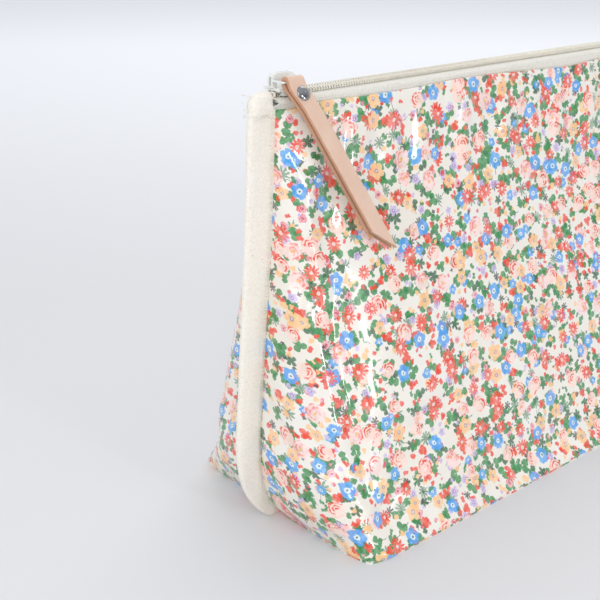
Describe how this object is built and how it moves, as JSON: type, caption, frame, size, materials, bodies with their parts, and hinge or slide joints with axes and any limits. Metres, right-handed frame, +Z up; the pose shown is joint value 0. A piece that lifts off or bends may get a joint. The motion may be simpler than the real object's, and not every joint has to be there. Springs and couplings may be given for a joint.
{
  "type": "zip makeup bag",
  "caption": "Flat-based soft makeup bag of laminated floral cotton with bound end seams, a coil zip along the top and a folded leather zip pull.",
  "frame": {"origin": "centre of the base, on the surface that the bag stands on", "axes": "+X along the zip towards the end where it opens, -Y towards the front, +Z up"},
  "size_m": [0.313, 0.1264, 0.2059],
  "materials": {
    "laminated_cotton": "printed cotton under a clear gloss film",
    "lining": "plain cream cotton",
    "binding": "woven cream cotton",
    "zip_tape": "woven polyester tape",
    "zip_coil": "nylon coil",
    "slider_enamel": "gloss white enamel on die-cast zinc",
    "spring_steel": "spring steel",
    "leather": "undyed vegetable-tanned leather",
    "rivet_nickel": "nickel plate"
  },
  "bodies": {
    "root": {"base_panel": "laminated_cotton", "base_lining": "lining", "front_panel_ends": "laminated_cotton", "back_panel_ends": "laminated_cotton", "front_lining_ends": "lining", "back_lining_ends": "lining", "left_binding": "binding", "right_binding": "binding", "left_box_seam_tape": "binding", "right_box_seam_tape": "binding", "zip_tape_ends": "zip_tape", "zip_coil_ends": "zip_coil", "left_zip_stops": "zip_coil", "right_zip_stop": "zip_coil"},
    "front_wall": {"front_panel": "laminated_cotton", "front_lining": "lining", "front_zip_tape": "zip_tape", "front_coil": "zip_coil"},
    "back_wall": {"back_panel": "laminated_cotton", "back_lining": "lining", "back_zip_tape": "zip_tape", "back_coil": "zip_coil"},
    "slider": {"slider_body": "slider_enamel", "slider_crown": "slider_enamel", "slider_lock_spring": "spring_steel", "pull_wire": "slider_enamel"},
    "pull": {"leather_pull": "leather", "rivet_cap": "rivet_nickel", "rivet_post": "rivet_nickel"}
  },
  "joints": [
    {"name": "front_wall_spread", "type": "hinge", "parent": "root", "child": "front_wall", "pos_m": [0, -0.0625, 0.0016], "axis": [1, 0, 0], "range_deg": [0, 16]},
    {"name": "back_wall_spread", "type": "hinge", "parent": "root", "child": "back_wall", "pos_m": [0, 0.0625, 0.0016], "axis": [-1, 0, 0], "range_deg": [0, 16]},
    {"name": "zip_slide", "type": "slide", "parent": "root", "child": "slider", "axis": [1, 0, 0], "range_m": [0, 0.25]},
    {"name": "pull_swing", "type": "hinge", "parent": "slider", "child": "pull", "pos_m": [-0.12925, -0.0076, 0.2029], "axis": [-1, 0, 0], "range_deg": [0, 170]}
  ],
  "couplings": [
    {"joint": "back_wall_spread", "follows": "front_wall_spread", "ratio": 1}
  ]
}
